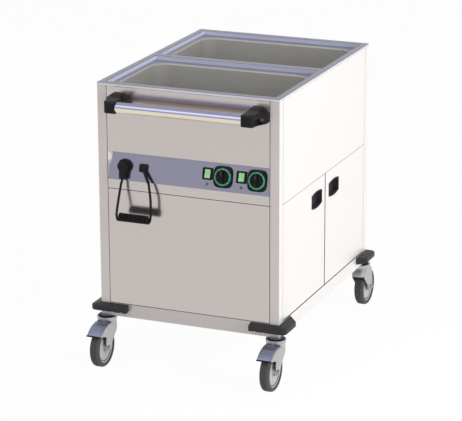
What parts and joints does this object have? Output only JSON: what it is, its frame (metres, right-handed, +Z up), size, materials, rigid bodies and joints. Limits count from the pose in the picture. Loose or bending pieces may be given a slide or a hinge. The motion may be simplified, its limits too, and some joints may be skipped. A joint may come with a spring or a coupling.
{
  "type": "heated serving trolley",
  "caption": "Sheet-steel serving trolley with heated wells in its top, a control panel, a push handle, hinged doors and swivel casters.",
  "frame": {"origin": "on the floor, under the middle of the cabinet", "axes": "+Z up, the handle and the controls at low Y, the doors at high X"},
  "size_m": [0.648, 0.98, 0.9],
  "materials": {
    "black_plastic": "matt",
    "bumper_plastic": "matt",
    "cord_rubber": "matt",
    "green_plastic": "glossy, translucent green",
    "handle_alloy": "satin",
    "heating_mat": "matt",
    "hub_plastic": "matt",
    "knob_plastic": "semi-gloss",
    "steel_edge": "satin",
    "steel_sheet": "satin",
    "tyre_rubber": "matt",
    "zinc": "zinc plated"
  },
  "bodies": {
    "cabinet": {"base_tray": "steel_sheet", "corner_posts": "steel_sheet", "side_panel_left": "steel_sheet", "side_panel_right": "steel_sheet", "rear_panel": "steel_sheet", "front_panel_upper": "steel_sheet", "front_panel_lower": "steel_sheet", "control_panel": "steel_edge", "cabinet_ceiling": "steel_sheet", "door_jamb": "steel_sheet", "top_plate": "steel_edge", "well_front": "steel_sheet", "well_rear": "steel_sheet", "heating_mats": "heating_mat", "handle_tube": "handle_alloy", "handle_bracket_left": "black_plastic", "handle_bracket_right": "black_plastic", "handle_screws": "zinc", "bumper_front_left": "bumper_plastic", "bumper_front_right": "bumper_plastic", "bumper_rear_left": "bumper_plastic", "bumper_rear_right": "bumper_plastic", "thermostat_left": "black_plastic", "thermostat_right": "black_plastic", "switch_left": "black_plastic", "switch_right": "black_plastic", "parking_socket": "black_plastic", "plug": "black_plastic", "cord_tail_plug": "cord_rubber", "cord_coil": "cord_rubber", "cord_tail_outlet": "cord_rubber", "cord_outlet": "black_plastic", "hinge_pins": "zinc", "caster_heads": "zinc"},
    "door_front_body": {"door_front": "steel_sheet", "door_grip_front": "black_plastic"},
    "door_rear_body": {"door_rear": "steel_sheet", "door_grip_rear": "black_plastic"},
    "knob_left_body": {"knob_left": "knob_plastic"},
    "rocker_left_body": {"rocker_left": "green_plastic"},
    "knob_right_body": {"knob_right": "knob_plastic"},
    "rocker_right_body": {"rocker_right": "green_plastic"},
    "caster_front_left": {"fork_front_left": "zinc", "axle_front_left": "zinc"},
    "wheel_front_left": {"hub_front_left": "hub_plastic", "tyre_front_left": "tyre_rubber"},
    "caster_front_right": {"fork_front_right": "zinc", "axle_front_right": "zinc"},
    "wheel_front_right": {"hub_front_right": "hub_plastic", "tyre_front_right": "tyre_rubber"},
    "caster_rear_left": {"fork_rear_left": "zinc", "axle_rear_left": "zinc"},
    "wheel_rear_left": {"hub_rear_left": "hub_plastic", "tyre_rear_left": "tyre_rubber"},
    "caster_rear_right": {"fork_rear_right": "zinc", "axle_rear_right": "zinc"},
    "wheel_rear_right": {"hub_rear_right": "hub_plastic", "tyre_rear_right": "tyre_rubber"},
    "pedal_front_left": {"brake_front_left": "zinc"},
    "pedal_front_right": {"brake_front_right": "zinc"}
  },
  "joints": [
    {"name": "door_front_hinge", "type": "hinge", "parent": "cabinet", "child": "door_front_body", "pos_m": [0.29, -0.354, 0.387], "axis": [0, 0, -1], "range_deg": [0, 110]},
    {"name": "door_rear_hinge", "type": "hinge", "parent": "cabinet", "child": "door_rear_body", "pos_m": [0.29, 0.354, 0.387], "axis": [0, 0, 1], "range_deg": [0, 110]},
    {"name": "knob_left_turn", "type": "hinge", "parent": "cabinet", "child": "knob_left_body", "pos_m": [0.112, -0.39368, 0.64379], "axis": [0, 0.9775, -0.211], "range_deg": [0, 270]},
    {"name": "rocker_left_tilt", "type": "hinge", "parent": "cabinet", "child": "rocker_left_body", "pos_m": [0.0617, -0.38678, 0.64731], "axis": [1, 0, 0], "range_deg": [0, 16]},
    {"name": "knob_right_turn", "type": "hinge", "parent": "cabinet", "child": "knob_right_body", "pos_m": [0.2214, -0.39368, 0.64379], "axis": [0, 0.9775, -0.211], "range_deg": [0, 270]},
    {"name": "rocker_right_tilt", "type": "hinge", "parent": "cabinet", "child": "rocker_right_body", "pos_m": [0.1711, -0.38678, 0.64731], "axis": [1, 0, 0], "range_deg": [0, 16]},
    {"name": "caster_front_left_swivel", "type": "hinge", "parent": "cabinet", "child": "caster_front_left", "pos_m": [-0.2815, -0.3875, 0.15], "axis": [0, 0, 1], "continuous": true},
    {"name": "wheel_front_left_spin", "type": "hinge", "parent": "caster_front_left", "child": "wheel_front_left", "pos_m": [-0.2815, -0.4275, 0.0625], "axis": [1, 0, 0], "continuous": true},
    {"name": "caster_front_right_swivel", "type": "hinge", "parent": "cabinet", "child": "caster_front_right", "pos_m": [0.2815, -0.3875, 0.15], "axis": [0, 0, 1], "continuous": true},
    {"name": "wheel_front_right_spin", "type": "hinge", "parent": "caster_front_right", "child": "wheel_front_right", "pos_m": [0.2815, -0.4275, 0.0625], "axis": [1, 0, 0], "continuous": true},
    {"name": "caster_rear_left_swivel", "type": "hinge", "parent": "cabinet", "child": "caster_rear_left", "pos_m": [-0.2815, 0.3875, 0.15], "axis": [0, 0, 1], "continuous": true},
    {"name": "wheel_rear_left_spin", "type": "hinge", "parent": "caster_rear_left", "child": "wheel_rear_left", "pos_m": [-0.2815, 0.4275, 0.0625], "axis": [1, 0, 0], "continuous": true},
    {"name": "caster_rear_right_swivel", "type": "hinge", "parent": "cabinet", "child": "caster_rear_right", "pos_m": [0.2815, 0.3875, 0.15], "axis": [0, 0, 1], "continuous": true},
    {"name": "wheel_rear_right_spin", "type": "hinge", "parent": "caster_rear_right", "child": "wheel_rear_right", "pos_m": [0.2815, 0.4275, 0.0625], "axis": [1, 0, 0], "continuous": true},
    {"name": "brake_front_left_press", "type": "hinge", "parent": "caster_front_left", "child": "pedal_front_left", "pos_m": [-0.2815, -0.4055, 0.131], "axis": [1, 0, 0], "range_deg": [0, 6]},
    {"name": "brake_front_right_press", "type": "hinge", "parent": "caster_front_right", "child": "pedal_front_right", "pos_m": [0.2815, -0.4055, 0.131], "axis": [1, 0, 0], "range_deg": [0, 6]}
  ]
}
